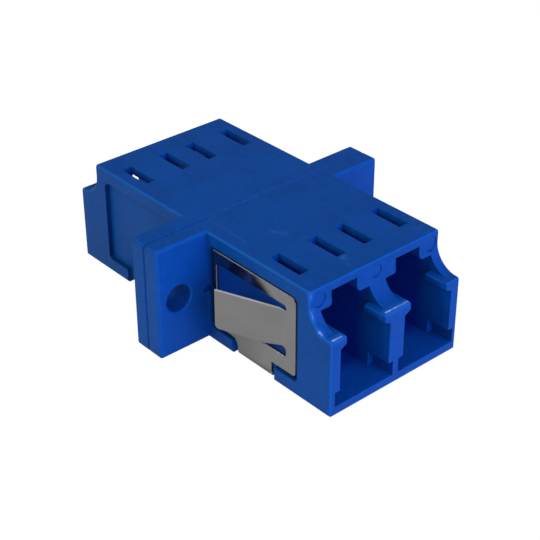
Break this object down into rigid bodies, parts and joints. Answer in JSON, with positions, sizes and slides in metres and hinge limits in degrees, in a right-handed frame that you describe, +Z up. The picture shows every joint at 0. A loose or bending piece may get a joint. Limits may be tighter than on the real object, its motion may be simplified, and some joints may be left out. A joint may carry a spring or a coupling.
{
  "type": "duplex fibre adapter",
  "caption": "Blue duplex fibre coupler with a two-ear screw flange, latch ports on both sides and a sprung steel panel clip round its front half.",
  "frame": {"origin": "middle of the base, on the weld plane in the middle of the flange", "axes": "+X out of the front ports, where the clip is; +Y across the ports to the left when looking out of the front ports; +Z up, on the side of the latch slots"},
  "size_m": [0.0294, 0.022, 0.0093],
  "materials": {
    "housing": "satin",
    "sleeve": "satin",
    "clip": "satin"
  },
  "bodies": {
    "root": {"front_housing": "housing", "rear_housing": "housing", "left_sleeve": "sleeve", "right_sleeve": "sleeve", "panel_clip": "clip"}
  },
  "joints": []
}
